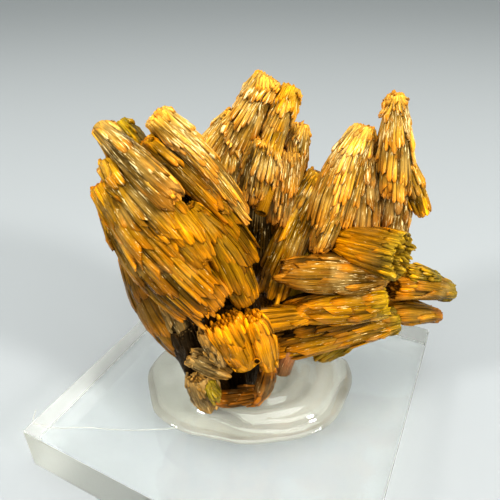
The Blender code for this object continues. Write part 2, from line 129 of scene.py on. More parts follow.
CENTRE_SPIRE = (
    Sheaf("tall", (1.8, 5.0, 41.0), (-2.6, 4.2, 32.6), (1.4, 1.5), (1.8, 2.0), (2.0, 2.2),
          (0, 0, 0), "stepped", "straw"),
    Sheaf("tall_left", (-1.4, 4.8, 37.6), (-4.8, 4.0, 32.4), (1.0, 1.3), (1.4, 1.6), (1.3, 1.4),
          (0, 0, 0), "stepped", "straw"),
    Sheaf("bright", (4.1, 4.6, 40.2), (0.8, 3.4, 32.0), (1.0, 1.3), (1.4, 1.6), (1.5, 1.6),
          (0, 0, 0), "stepped", "gold"),
    Sheaf("right", (5.3, 6.2, 36.0), (3.9, 4.6, 27.6), (1.0, 1.1), (1.4, 1.4), (1.4, 1.4),
          (0, 0, 0), "fine", "straw"),
    Sheaf("tier_left", (-1.6, 4.2, 35.4), (-3.2, 2.8, 29.2), (1.5, 1.6), (1.9, 1.8), (1.8, 1.7),
          (0, 0, 0), "stepped", "straw"),
    Sheaf("tier_middle", (1.6, 3.6, 35.2), (0.2, 2.0, 29.2), (1.5, 1.6), (1.9, 1.7), (1.8, 1.6),
          (0, 0, 0), "stepped", "straw"),
    Sheaf("tier_right", (4.0, 4.6, 33.6), (3.0, 2.8, 26.4), (1.3, 1.5), (1.6, 1.7), (1.4, 1.5),
          (0, 0, 0), "fine", "rose"),
    Sheaf("hollow_prism", (2.4, 3.0, 31.2), (1.1, -0.2, 28.8), (0.6, 0.6), (0.7, 0.7), (0.7, 0.7),
          (0, 0, 0), "open", "amber"),
    Sheaf("stem", (1.0, 4.6, 31.0), (0.9, 3.2, 19.4), (1.8, 1.6), (2.0, 1.6), (1.7, 1.4),
          (0, 0, 0), "fine", "bark_and_shade"),
    Sheaf("stem_left", (-1.2, 4.2, 32.0), (-3.6, 0.6, 18.0), (1.9, 1.8), (1.9, 1.8), (1.8, 1.8),
          (0, 0.4, 0), "fine", "bark_and_shade"),
    Sheaf("stem_right", (2.6, 4.6, 32.0), (5.6, 3.0, 15.0), (2.0, 1.8), (2.0, 1.9), (2.1, 2.0),
          (0, 0.4, 0), "fine", "brown"),
    Sheaf("back", (1.0, 7.4, 37.6), (-1.2, 6.0, 24.6), (2.0, 1.5), (2.7, 1.9), (2.6, 1.9),
          (0, 0.2, 0), "stepped", "straw"),
    Sheaf("back_low", (3.4, 6.8, 31.0), (5.6, 4.8, 17.0), (2.0, 1.7), (2.3, 2.0), (2.0, 2.0),
          (0, 0.4, 0), "fine", "ochre"),
)

RIGHT_FAN = (
    Sheaf("spire", (13.9, 3.0, 39.8), (15.0, 2.2, 30.2), (0.8, 1.1), (1.55, 1.8), (1.8, 2.0),
          (0, 0, 0), "stepped", "straw"),
    Sheaf("spire_flare", (15.2, 2.8, 34.0), (18.2, 1.8, 28.0), (1.0, 1.2), (1.1, 1.2), (0.8, 0.9),
          (0, 0, 0), "fine", "gold"),
    Sheaf("spire_low", (15.2, 3.2, 31.5), (15.7, 2.4, 22.0), (1.6, 1.6), (1.8, 1.7), (1.6, 1.6),
          (0, 0, 0), "bladed", "rose"),
    Sheaf("fan", (11.6, 4.0, 36.4), (8.6, 2.0, 27.0), (1.2, 1.5), (2.3, 2.0), (2.6, 2.1),
          (-0.2, 0, 0.2), "fine", "straw"),
    Sheaf("fan_side", (12.2, 3.6, 33.6), (12.0, 1.6, 25.0), (1.3, 1.5), (1.6, 1.7), (1.6, 1.6),
          (0, 0, 0), "bladed", "rose"),
    Sheaf("fan_front", (9.6, 2.0, 29.8), (7.2, -0.2, 24.5), (1.0, 1.1), (1.3, 1.2), (1.0, 1.0),
          (0, 0, 0), "bladed", "straw"),
    Sheaf("flank", (7.8, 4.8, 31.0), (2.8, 1.4, 18.0), (1.7, 1.8), (2.3, 2.3), (2.4, 2.3),
          (-0.3, 0, 0.2), "bladed", "gold"),
    Sheaf("flank_low", (6.0, 3.0, 23.0), (4.1, 1.0, 13.0), (2.4, 2.2), (2.5, 2.3), (2.2, 2.2),
          (0, 0, 0), "smooth", "olive"),
    Sheaf("back", (12.2, 6.0, 34.4), (7.6, 4.6, 20.0), (1.9, 1.6), (2.8, 2.0), (2.6, 2.0),
          (0, 0.3, 0.2), "stepped", "ochre"),
    Sheaf("back_low", (14.6, 4.4, 26.4), (6.6, 3.2, 15.6), (2.0, 1.8), (2.6, 2.2), (2.4, 2.2),
          (0, 0.3, 0), "bladed", "ochre"),
)

SHELF = (
    Sheaf("top", (15.0, -3.4, 25.6), (9.2, 1.5, 24.8), (2.6, 2.3), (2.2, 2.0), (1.3, 1.4),
          (0, 0, 0), "lanced", "honey"),
    Sheaf("middle", (14.4, -1.4, 21.8), (3.9, -1.2, 22.4), (1.2, 1.3), (2.1, 1.8), (1.4, 1.4),
          (0, 0, 0), "lanced", "tan"),
    Sheaf("front", (14.6, -2.2, 19.2), (5.4, -2.2, 17.7), (1.9, 1.9), (1.9, 1.9), (1.2, 1.4),
          (0, 0, 0), "lanced", "ochre"),
    Sheaf("left", (6.6, -2.4, 17.5), (-1.2, -3.2, 17.0), (1.0, 1.2), (1.4, 1.5), (1.0, 1.2),
          (0, 0, 0), "lanced", "honey"),
    Sheaf("low", (17.0, 0.0, 14.9), (2.8, -2.0, 12.1), (1.6, 1.8), (1.8, 1.9), (1.5, 1.7),
          (0, 0, 0), "lanced", "ochre"),
    Sheaf("between", (14.6, -1.0, 17.0), (5.4, -1.8, 14.9), (1.1, 1.2), (1.4, 1.5), (1.1, 1.2),
          (0, 0, 0), "bladed", "brown"),
    Sheaf("end_upper", (23.5, 2.0, 17.4), (16.6, 1.0, 19.0), (1.2, 1.4), (1.6, 1.7), (1.6, 1.6),
          (0, 0, 0.4), "lanced", "ochre"),
    Sheaf("end_top", (21.4, 1.8, 19.4), (17.6, 1.2, 20.6), (0.8, 1.1), (1.1, 1.3), (1.0, 1.2),
          (0, 0, 0), "fine", "olive"),
    Sheaf("end_lower", (22.8, 2.0, 13.8), (16.4, 1.0, 14.9), (0.9, 1.2), (1.3, 1.4), (1.3, 1.4),
          (0, 0, 0.3), "lanced", "amber"),
    Sheaf("back", (19.6, 3.8, 17.6), (8.0, 2.6, 16.0), (2.0, 1.8), (2.6, 2.2), (2.6, 2.2),
          (0, 0.3, 0), "bladed", "ochre"),
    Sheaf("root", (14.8, 0.8, 18.6), (4.0, 0.2, 15.4), (2.5, 1.8), (3.0, 2.2), (3.0, 2.4),
          (0, 0, 0), "root", "shadow"),
    Sheaf("fringe", (12.4, 0.8, 12.8), (8.6, 1.4, 8.2), (1.8, 1.6), (1.9, 1.7), (1.4, 1.5),
          (0, 0, 0), "fine", "olive"),
)

FOOT = (
    Sheaf("lobe", (-0.3, -6.7, 14.7), (-2.6, -6.4, 19.8), (1.7, 1.6), (2.0, 1.8), (2.1, 1.7),
          (0, 0, 0), "smooth", "honey"),
    Sheaf("lobe_right", (2.0, -6.7, 14.3), (0.4, -6.3, 20.2), (1.0, 1.3), (1.4, 1.5), (1.2, 1.3),
          (0.2, 0, 0), "smooth", "honey"),
    Sheaf("lobe_left", (-2.9, -7.0, 14.9), (-4.7, -6.7, 18.6), (0.7, 1.0), (0.9, 1.1), (0.7, 1.0),
          (0, 0, 0), "fine", "umber"),
    Sheaf("pit_left", (-0.6, -8.1, 17.9), (-0.6, -7.2, 17.2), (0.24, 0.20), (0.3, 0.3), (0.3, 0.3),
          (0, 0, 0), "open", "honey"),
    Sheaf("pit_right", (0.7, -8.2, 16.15), (0.7, -7.3, 15.5), (0.38, 0.30), (0.4, 0.4), (0.4, 0.4),
          (0, 0, 0), "open", "honey"),
    Sheaf("yellow", (-4.6, -7.2, 12.4), (-3.8, -7.4, 10.0), (0.6, 0.8), (0.9, 1.0), (0.8, 0.8),
          (0, 0, 0), "fine", "lichen"),
    Sheaf("brown", (-6.4, -6.2, 15.2), (-2.6, -6.6, 13.2), (1.1, 1.3), (1.3, 1.4), (1.0, 1.2),
          (0, 0, 0), "smooth", "umber"),
    Sheaf("left", (-5.6, -6.6, 12.8), (-4.6, -6.4, 8.2), (1.5, 1.5), (1.8, 1.7), (1.6, 1.5),
          (0, 0, 0), "root", "umber"),
    Sheaf("rim_right", (1.9, -6.6, 14.4), (0.8, -6.8, 9.4), (0.8, 1.1), (1.0, 1.3), (0.9, 1.2),
          (0.4, 0, 0), "bladed", "rust"),
    Sheaf("rim_low", (1.4, -6.6, 10.0), (-3.6, -6.6, 9.0), (0.9, 1.2), (1.0, 1.3), (0.9, 1.2),
          (0, 0, -0.4), "bladed", "rust"),
    Sheaf("root", (-7.2, -4.2, 18.0), (-3.6, -4.4, 8.2), (2.0, 2.0), (2.1, 2.2), (2.0, 2.0),
          (-0.3, 0, -0.3), "root", "shadow"),
    Sheaf("core", (-2.0, -3.2, 20.8), (-1.4, -3.2, 8.0), (2.8, 1.8), (3.2, 1.9), (2.8, 1.8),
          (0, 0, 0), "root", "shadow"),
    Sheaf("prism", (4.5, -2.4, 12.8), (3.5, -3.1, 9.6), (1.1, 1.1), (1.3, 1.2), (1.2, 1.1),
          (0, 0, 0), "open", "clay"),
    Sheaf("back", (2.4, 1.6, 16.6), (3.4, 1.2, 7.8), (2.6, 2.0), (3.0, 2.2), (2.6, 2.0),
          (0, 0, 0), "bladed", "brown"),
)

GROUPS = {
    "left_fan": LEFT_FAN,
    "centre_spire": CENTRE_SPIRE,
    "right_fan": RIGHT_FAN,
    "shelf": SHELF,
    "foot": FOOT,
}

# How single crystals grow on a sheaf, in millimetres: their length, half their width, half their
# thickness, how far their tips stand over the sheaf's skin, how many lie side by side in one packet,
# the skin that each tip has to itself in square mm, how unevenly a packet ends, how far a packet
# leans aside in radians, and the share of crystals with broken, oblique tips
Habit = namedtuple("Habit", "length wide thick proud packet tip_area ragged spread blunt")
HABITS = {
    "bladed": Habit((8.0, 14.0), (0.24, 0.50), (0.16, 0.27), (0.04, 0.34), (2, 6),
                    tip_area=2.00, ragged=0.60, spread=0.02, blunt=0.6),
    "lanced": Habit((7.0, 12.0), (0.30, 0.60), (0.13, 0.26), (0.00, 0.26), (2, 4),
                    tip_area=2.40, ragged=0.60, spread=0.03, blunt=0.5),
    "fine": Habit((4.0, 9.0), (0.12, 0.26), (0.12, 0.21), (0.00, 0.32), (3, 9),
                  tip_area=0.65, ragged=0.36, spread=0.04, blunt=0.2),
    "stepped": Habit((3.0, 6.6), (0.16, 0.32), (0.14, 0.24), (0.02, 0.42), (2, 8),
                     tip_area=0.70, ragged=0.28, spread=0.06, blunt=0.4),
    "smooth": Habit((7.0, 12.0), (0.34, 0.68), (0.10, 0.16), (0.02, 0.14), (3, 6),
                    tip_area=3.00, ragged=0.40, spread=0.02, blunt=0.4),
    "root": Habit((3.0, 6.0), (0.22, 0.36), (0.14, 0.22), (0.00, 0.12), (2, 4),
                  tip_area=1.00, ragged=0.30, spread=0.05, blunt=0.2),
}

# Sheaves of the habit "open" are one prism that ends in a hollow: its open end, and its depth in mm
HOLLOW_ENDS = {
    "hollow_prism": ("inner", 1.2), "prism": ("outer", 0.8), "pit_left": ("outer", 0.7),
    "pit_right": ("outer", 0.8),
}

# Sheaves with a worn outer end: how uneven it is in millimetres, and the tint of its crystals there
WORN_ENDS = {
    "top": (0.40, "lichen"), "front": (0.25, "olive"), "low": (0.25, "lichen"),
    "end_upper": (0.3, "lichen"), "end_top": (0.25, "lichen"), "middle": (0.2, "rose"),
    "end_lower": (0.2, "rust"),
}
USUAL_UNEVEN = 0.12

# Colours of a crystal's middle, tip and root in each tint, and how much pale frost and painted sheen lies
# on it.
# The dark root colour is painted shade, at the foot of each crystal among the others
Tint = namedtuple("Tint", "middle tip root frost")
TINTS = {
    "straw": Tint("#D2A442", "#D69028", "#5C3C0E", 0.85),
    "gold": Tint("#C6961A", "#CC8A10", "#4E3606", 0.72),
    "amber": Tint("#A67A02", "#B07402", "#4A2E02", 0.14),
    "ochre": Tint("#B48406", "#C07A04", "#443002", 0.45),
    "olive": Tint("#A08408", "#B88A08", "#302809", 0.40),
    "rose": Tint("#B08434", "#BE7E26", "#463014", 0.85),
    "tan": Tint("#966C18", "#AC7218", "#3C2A10", 0.65),
    "honey": Tint("#D09202", "#D68C02", "#6A4604", 0.20),
    "brown": Tint("#7A5604", "#986206", "#221503", 0.15),
    # A dark brown of its own, darkened further with painted shade for the gaps between sheaves
    "bark_and_shade": Tint("#503808", "#684808", "#160E02", 0.50),
    "shadow": Tint("#1E1204", "#2E1A04", "#0A0602", 0.0),
    "umber": Tint("#9A7C4A", "#9C7430", "#3C2C16", 0.50),
    "rust": Tint("#A0640C", "#B06C18", "#3C2206", 0.30),
    "clay": Tint("#96643A", "#A07050", "#4A2A14", 0.8),
    "lichen": Tint("#86741A", "#967C1C", "#302A0A", 0.6),
}

# One single crystal: the angle of its middle about the sheaf, its share of the sheaf's radius, where
# it starts and ends along the sheaf, half its width and thickness, how far its tip stands proud, how
# far it leans aside, its turn about itself, its shade, and whether its tip is blunt
Crystal = namedtuple("Crystal", "angle share start end wide thick proud lean turn tone blunt")

CRYSTAL_SEED = 7
GOLDEN_ANGLE = math.radians(137.508)

# Where the first crystals of a sheaf may be rooted, in mm along it
ROOT_START = (-0.10, 0.20)
# Crystals of a packet: their pitch in half widths, and how far each ends behind the one before, in mm
PACKET_PITCH = 1.6
PACKET_CROWN = 0.12
# Ridges under the packets: their widest half width in mm, and their pitch and thickness to it
RIDGE_WIDEST = 0.38
RIDGE_PITCH = 1.35
RIDGE_THICK = 0.62
# Crystals that fill a sheaf's end: their widest half width in mm, how much of the end they cover, and
# how far out they stand
BUNDLE_WIDEST = 0.22
BUNDLE_COVER = 0.8
BUNDLE_REACH = 0.95
# A root's depth under the skin and a tip's height over it, in half thicknesses
ROOT_SINK = 1.1
TIP_RISE = 0.35
# A point inside this share of another sheaf's thickness is buried
BURIED_SHARE = 0.9
LEAST_OVER_BLOCK = 1.0 * MM
CORE_SINK = 0.16 * MM
# Painted shade on crystals that lie deep among the others: the depth in mm at which it is full, and how
# steep it is
DEEP_SHADE = 0.46
DEEP_CURVE = 1.5
# The hollow of an open prism: its rim, and its depth in the prototype
HOLLOW_RIM = 0.2
HOLLOW_DEPTH = 0.55


def linear(hex_colour):
    """An sRGB hex colour as linear red, green and blue."""
    values = [int(hex_colour[i:i + 2], 16) / 255 for i in (1, 3, 5)]
    return np.array([v / 12.92 if v <= 0.04045 else ((v + 0.055) / 1.055) ** 2.4 for v in values])


class Shape:
    """The geometry of one sheaf. Lengths are metres, and s runs from its outer to its inner end."""

    def __init__(self, sheaf):
        self.sheaf = sheaf
        self.outer = np.array(sheaf.outer) * MM
        inner = np.array(sheaf.inner) * MM
        self.length = np.linalg.norm(inner - self.outer)
        self.along = (inner - self.outer) / self.length
        across = np.cross(self.along, LOOK)
        self.across = across / np.linalg.norm(across)
        self.deep = np.cross(self.across, self.along)
        self.bow = np.array(sheaf.bow) * MM

    def centre(self, s):
        """Points on the centre line, which runs straight on past both ends."""
        t = np.clip(s / self.length, 0, 1)[..., None]
        return self.outer + self.along * s[..., None] + self.bow * 4 * t * (1 - t)

    def sizes(self, s):
        """Half the width and half the depth at s, on a smooth run through the sheaf's three sizes."""
        t = np.clip(s / self.length, 0, 1)
        shares = ((1 - t) * (1 - 2 * t), 4 * t * (1 - t), t * (2 * t - 1))
        ends = (self.sheaf.outer_size, self.sheaf.middle_size, self.sheaf.inner_size)
        width = sum(share * end[0] for share, end in zip(shares, ends)) * MM
        depth = sum(share * end[1] for share, end in zip(shares, ends)) * MM
        return width, depth

    def mean_radius(self):
        """The radius halfway along, between the half width and the half depth."""
        width, depth = self.sizes(np.array([0.5 * self.length]))
        return float(width[0] + depth[0]) / 2

    def holds(self, points, share):
        """Which points lie inside the sheaf when its thickness is taken times share."""
        s = (points - self.outer) @ self.along
        width, depth = self.sizes(s)
        offset = points - self.centre(s)
        u = (offset @ self.across) / width
        v = (offset @ self.deep) / depth
        return (u * u + v * v < share * share) & (s > 0) & (s < self.length)

    def uneven(self):
        """How uneven the outer end is, in millimetres."""
        return WORN_ENDS[self.sheaf.name][0] if self.sheaf.name in WORN_ENDS else USUAL_UNEVEN


def unit_column(segments, foot_radius):
    """A column that stands on the origin, one long and one in radius at its top."""
    bm = bmesh.new()
    bmesh.ops.create_cone(bm, cap_ends=True, segments=segments, radius1=foot_radius, radius2=1.0,
                          depth=1.0)
    bmesh.ops.translate(bm, vec=(0, 0, 0.5), verts=bm.verts)
    return bm


def cut_level(bm, heights):
    """Cuts a shape's faces level at each height."""
    for height in heights:
        bmesh.ops.bisect_plane(bm, geom=bm.verts[:] + bm.edges[:] + bm.faces[:],
                               plane_co=(0, 0, height), plane_no=(0, 0, 1))


def top_face(bm):
    """The highest face of a shape."""
    return max(bm.faces, key=lambda face: face.calc_center_median().z)


def points_and_faces(bm):
    """A finished shape's points and triangles as arrays. The shape itself is freed."""
    bmesh.ops.triangulate(bm, faces=bm.faces)
    bm.verts.index_update()
    points = np.array([vert.co[:] for vert in bm.verts])
    faces = np.array([[vert.index for vert in face.verts] for face in bm.faces])
    bm.free()
    return points, faces


def crystal_prototype(tip):
    """One six-sided crystal, one long and one in radius, with a chisel tip or a blunt one.

    Heights above 1 are measured in radii and not in lengths.
    """
    inset, tip_height = {"chisel": (0.55, 1.3), "blunt": (0.16, 0.1)}[tip]
    bm = unit_column(6, foot_radius=0.7)
    cut_level(bm, (0.3, 0.75))
    top = top_face(bm)
    bmesh.ops.inset_region(bm, faces=[top], thickness=inset)
    for vert in bm.verts:
        reach = math.hypot(vert.co.x, vert.co.y)
        if 0.2 < vert.co.z < 0.8:
            vert.co.x *= 1.0 / reach
            vert.co.y *= 1.0 / reach
    for vert in top.verts:
        vert.co.z += tip_height
    return points_and_faces(bm)


def core_prototype():
    """A column, one long and one in radius, that stands for the heart of a sheaf."""
    bm = unit_column(22, foot_radius=1.0)
    cut_level(bm, [step / 8 for step in range(1, 8)])
    return points_and_faces(bm)


def open_prism_prototype():
    """An eight-sided prism, one long and one in radius, with a hollow in its far end."""
    bm = unit_column(8, foot_radius=1.0)
    top = top_face(bm)
    bmesh.ops.inset_region(bm, faces=[top], thickness=HOLLOW_RIM)
    for depth, share in ((0.25, 0.92), (HOLLOW_DEPTH, 0.72)):
        pushed = bmesh.ops.extrude_face_region(bm, geom=[top])["geom"]
        bm.faces.remove(top)
        top = next(item for item in pushed if isinstance(item, bmesh.types.BMFace))
        for vert in top.verts:
            vert.co.x *= share
            vert.co.y *= share
            vert.co.z = 1 - depth
    return points_and_faces(bm)


PROTOTYPES = {tip: crystal_prototype(tip) for tip in ("chisel", "blunt")}
CORE = core_prototype()
OPEN_PRISM = open_prism_prototype()


def packets(shape, habit, rng):
    """Crystals that cover a sheaf's skin in packets, whose tips step down towards its inner end."""
    radius = shape.mean_radius()
    skin = math.tau * radius * shape.length / MM ** 2
    mean_count = sum(habit.packet) / 2
    total = int(skin / (habit.tip_area * mean_count))
    crystals = []
    for i in range(total):
        tip = shape.length * (0.05 + (i + rng.random()) / total)
        angle = i * GOLDEN_ANGLE + rng.normal(0, 0.2)
        count = rng.integers(habit.packet[0], habit.packet[1] + 1)
        length = rng.uniform(*habit.length) * MM
        level = rng.uniform(*habit.proud) * MM
        tone = rng.normal(0, 1)
        wide = rng.uniform(*habit.wide) * MM
        lean = rng.normal(0, habit.spread) * length / radius
        for j in range(count):
            side = j - (count - 1) / 2
            own = rng.uniform(0.8, 1.25)
            end = max(tip + rng.normal(0, habit.ragged) * MM - abs(side) * PACKET_CROWN * MM, 0.5 * MM)
            start = max(end - length * rng.uniform(0.85, 1.15), rng.uniform(*ROOT_START) * MM)
            crystals.append(Crystal(
                angle + side * PACKET_PITCH * wide / radius, 1.0, start, end, wide * own,
                thick=rng.uniform(*habit.thick) * MM, proud=level + rng.normal(0, 0.04) * MM,
                lean=lean + rng.normal(0, 0.02), turn=rng.uniform(0, math.tau),
                tone=0.7 * tone + 0.7 * rng.normal(0, 1), blunt=rng.random() < habit.blunt,
            ))
    return crystals


def ridges(shape, habit, rng):
    """Long crystals side by side and end to end, which cover a sheaf's heart all round."""
    wide = min(sum(habit.wide) / 2, RIDGE_WIDEST) * MM
    count = int(math.tau * shape.mean_radius() / (RIDGE_PITCH * wide))
    crystals = []
    for i in range(count):
        angle = math.tau * (i + rng.uniform(-0.2, 0.2)) / count
        end = 0.0
        last = shape.length + rng.uniform(-0.5, 0.1) * MM
        while end < last:
            start = max(end - rng.uniform(0.6, 1.4) * MM, rng.uniform(*ROOT_START) * MM)
            end += rng.uniform(*habit.length) * MM * 0.8
            if end > last - 1.6 * MM:
                end = last
            own = rng.uniform(0.85, 1.3)
            crystals.append(Crystal(
                angle, 1.0, start, end, wide * own, wide * RIDGE_THICK * own,
                proud=rng.uniform(-0.12, 0.02) * MM, lean=rng.normal(0, 0.015),
                turn=rng.uniform(0, math.tau), tone=rng.normal(0, 1.2), blunt=False,
            ))
    return crystals


def end_bundle(shape, habit, rng, inner):
    """Crystals that fill one end of a sheaf, side by side, with tips at uneven heights."""
    width, depth = shape.sizes(np.array([shape.length if inner else 0.0]))
    wide = min(sum(habit.wide) / 2 * 1.1, BUNDLE_WIDEST) * MM
    count = max(4, int(BUNDLE_COVER * float(width[0] * depth[0]) / wide ** 2))
    crystals = []
    for i in range(count):
        share = math.sqrt((i + 0.5) / count) * BUNDLE_REACH
        if inner:
            start = shape.length * 0.7
            end = shape.length * (1.03 - 0.10 * share * share) + rng.normal(0, 0.22) * MM
        else:
            start = shape.length * 0.2
            end = rng.normal(0.02, shape.uneven()) * MM + 0.30 * MM * share * share
        own = rng.uniform(0.75, 1.3)
        crystals.append(Crystal(
            i * GOLDEN_ANGLE, share, start, end, wide * own, wide * own * rng.uniform(0.8, 1.2),
            proud=0.0, lean=0.0, turn=rng.uniform(0, math.tau), tone=rng.normal(0, 1),
            blunt=not inner,
        ))
    return crystals


def place(shape, crystals, tip):
    """Sets the prototype on a sheaf once for each crystal, and gives points, faces and values.

    The values at each point: reach runs from 0 at a crystal's root to 1 at its tip, tone is its own
    shade, strand and run are millimetres across and along it, the frost value is how much pale frost and
    painted sheen it can carry, height is millimetres over the usual skin and sets painted shade where a
    crystal lies deep, and from_end is millimetres from the sheaf's outer end.
    """
    points, faces = PROTOTYPES[tip]
    table = np.array([crystal[:-1] for crystal in crystals])
    angle, share, start, end, wide, thick, proud, lean, turn, tone = (c[:, None] for c in table.T)
    x0, y0, z0 = points.T
    shaft = np.minimum(z0, 1.0)[None, :]
    cap = np.maximum(z0 - 1.0, 0.0)[None, :]
    sign = np.sign(end - start)
    cos_turn, sin_turn = np.cos(turn), np.sin(turn)
    x = x0 * cos_turn - y0 * sin_turn
    y = x0 * sin_turn + y0 * cos_turn
    # A chisel tip slopes outwards, and a blunt one is broken off aslant to either side
    slant = -0.8 * x if tip == "chisel" else -0.15 * x + 1.1 * y * np.sign(tone)
    tip_slant = np.where(shaft >= 1.0, slant, 0.0)
    s = start + (end - start) * shaft + sign * wide * (cap + tip_slant)
    theta = angle + lean * shaft
    width, depth = shape.sizes(s)
    normal = (np.cos(theta) / width)[..., None] * shape.across
    normal = normal + (np.sin(theta) / depth)[..., None] * shape.deep
    normal /= np.linalg.norm(normal, axis=-1, keepdims=True)
    tangent = np.cross(shape.along, normal)
    skin = (np.cos(theta) * width * share)[..., None] * shape.across
    skin = skin + (np.sin(theta) * depth * share)[..., None] * shape.deep
    rise = -ROOT_SINK * thick + (proud + TIP_RISE * thick) * shaft ** 1.5
    lift = np.where(share >= 1.0, rise, 0.0)
    places = shape.centre(s) + skin
    places = places + normal * (lift + x * thick)[..., None] + tangent * (y * wide * sign)[..., None]
    habit = HABITS[shape.sheaf.habit]
    usual = (sum(habit.proud) + 0.25 * sum(habit.thick)) / 2
    # Within 0.9 mm of either end of a sheaf, crystals get less painted shade
    near_end = np.clip(1 - np.minimum(s, shape.length - s) / (0.9 * MM), 0, 1)
    # Frost and painted sheen fade towards the inner end, and spare the outermost 1.6 mm, where the tips
    # are fresh
    faded = 1.0 - 0.65 * np.clip(s / shape.length, 0, 1)
    values = {
        # Crystals rooted at the sheaf's outer end get none of the root's painted shade
        "reach": np.maximum(shaft, np.where(start < 0.5 * MM, 0.25, 0.0)),
        "tone": np.broadcast_to(tone, s.shape),
        "strand": (y * wide + angle * 3 * MM + tone * MM) / MM,
        "run": s / MM + tone * 7,
        "frost": faded * np.clip(s / (1.6 * MM), 0.35, 1),
        "height": np.where(share >= 1.0, (lift + x * thick) / MM - usual + 0.4 * near_end, 0.0),
        "from_end": s / MM,
    }
    return places, faces, values


def place_hollow(shape, rng):
    """A whole sheaf as one prism with a hollow in its open end."""
    points, faces = OPEN_PRISM
    side, depth_mm = HOLLOW_ENDS[shape.sheaf.name]
    x, y, z = points.T
    around = np.arctan2(y, x)
    # The hollow's points lie inside the rim, and the sunk ones below its edge
    hollow = (np.hypot(x, y) < 0.83) & (z > 0.1)
    sunk = hollow & (z < 0.99)
    s = np.where(sunk, shape.length - (1 - z) / HOLLOW_DEPTH * depth_mm * MM, z * shape.length)
    s = s if side == "inner" else shape.length - s
    width, depth = shape.sizes(s)
    wobble = 1 + 0.07 * np.cos(3 * around + rng.uniform(0, 6))
    places = shape.centre(s) + (x * wobble * width)[:, None] * shape.across
    places = places + (y * wobble * depth)[:, None] * shape.deep
    values = {
        "reach": np.where(z > 0.9, 0.9, 0.6),
        # The sunk points get a dark tone: painted shade inside the hollow
        "tone": np.where(sunk, -7.0, -0.4),
        "strand": around * 2.0,
        "run": s / MM,
        "frost": np.full(len(points), 0.3),
        "height": np.ones(len(points)),
        "from_end": s / MM,
    }
    if side == "outer":
        faces = faces[:, ::-1]
    return places[None], faces, {key: value[None] for key, value in values.items()}


def place_core(shape, rng):
    """The heart of a sheaf, fluted and dark, just under the roots of its crystals."""
    points, faces = CORE
    x, y, z = points.T
    around = np.arctan2(y, x)
    flutes = 1 + 0.035 * np.cos(11 * around + rng.uniform(0, 6))
    s = np.clip(z * shape.length, (0.1 + 2 * shape.uneven()) * MM, shape.length - 0.25 * MM)
    width, depth = shape.sizes(s)
    places = shape.centre(s) + (x * flutes * (width - CORE_SINK))[:, None] * shape.across
    places = places + (y * flutes * (depth - CORE_SINK))[:, None] * shape.deep
    values = {
        # A low reach and a dark tone give the heart the root's painted shade and more, as it shows only in
        # the gaps between crystals
        "reach": np.full(len(points), 0.2),
        "tone": np.full(len(points), -4.0),
        "strand": around * 2.0,
        "run": s / MM,
        "frost": np.zeros(len(points)),
        "height": np.ones(len(points)),
        "from_end": s / MM,
    }
    return places[None], faces, {key: value[None] for key, value in values.items()}


def keep_shown(places, shape, shapes):
    """Which crystals aren't buried in another sheaf and don't reach into the block."""
    middle = places.mean(axis=1)
    outermost = places[:, PROTOTYPES["chisel"][0][:, 2] >= 0.99].mean(axis=1)
    keep = outermost[:, 2] > BLOCK_THICK + LEAST_OVER_BLOCK
    for other in shapes:
        if other is not shape:
            keep &= ~(other.holds(middle, BURIED_SHARE) & other.holds(outermost, BURIED_SHARE))
    return keep


def tinted(sheaf, values):
    """A colour for each point of each crystal: its root with painted shade, middle and tip, its own shade,
    and painted shade where it lies deep.
    """
    tint = TINTS[sheaf.tint]
    middle, tip, root = linear(tint.middle), linear(tint.tip), linear(tint.root)
    values["frost"] = values["frost"] * tint.frost
    # The root's dark colour, painted shade at each crystal's foot, ends a quarter of the way up, and the
    # tip's begins in the last quarter
    reach = values["reach"][..., None]
    colour = root + (middle - root) * np.clip(reach / 0.25, 0, 1)
    colour = colour + (tip - colour) * np.clip((reach - 0.72) / 0.28, 0, 1) * 0.8
    from_end = values.pop("from_end")
    if sheaf.name in WORN_ENDS:
        worn = np.clip(1.3 - (from_end + 0.4 * values["tone"]) / 1.6, 0, 1)[..., None]
        colour = colour + (linear(TINTS[WORN_ENDS[sheaf.name][1]].middle) - colour) * worn * 0.85
    # Painted shade on crystals that lie deeper than the usual skin, where the crystals around them would
    # shade them
    painted_depth_shade = np.clip(1 + values.pop("height") / DEEP_SHADE, 0.05, 1) ** DEEP_CURVE
    tone_and_painted_shade = np.exp(0.22 * values["tone"]) * painted_depth_shade
    return np.clip(colour * tone_and_painted_shade[..., None], 0, 1)


def grow_sheaf(shape, shapes, rng):
    """The crystals and the heart of one sheaf, as sets of points, faces and values."""
    if shape.sheaf.habit == "open":
        return [place_hollow(shape, rng)]
    habit = HABITS[shape.sheaf.habit]
    crystals = ridges(shape, habit, rng) + packets(shape, habit, rng)
    crystals += end_bundle(shape, habit, rng, inner=True)
    crystals += end_bundle(shape, habit, rng, inner=False)
    grown = []
    for blunt, tip in ((False, "chisel"), (True, "blunt")):
        chosen = [crystal for crystal in crystals if crystal.blunt == blunt]
        if chosen:
            places, faces, values = place(shape, chosen, tip)
            keep = keep_shown(places, shape, shapes)
            if keep.any():
                grown.append((places[keep], faces, {key: value[keep] for key, value in values.items()}))
    grown.append(place_core(shape, rng))
    return grown


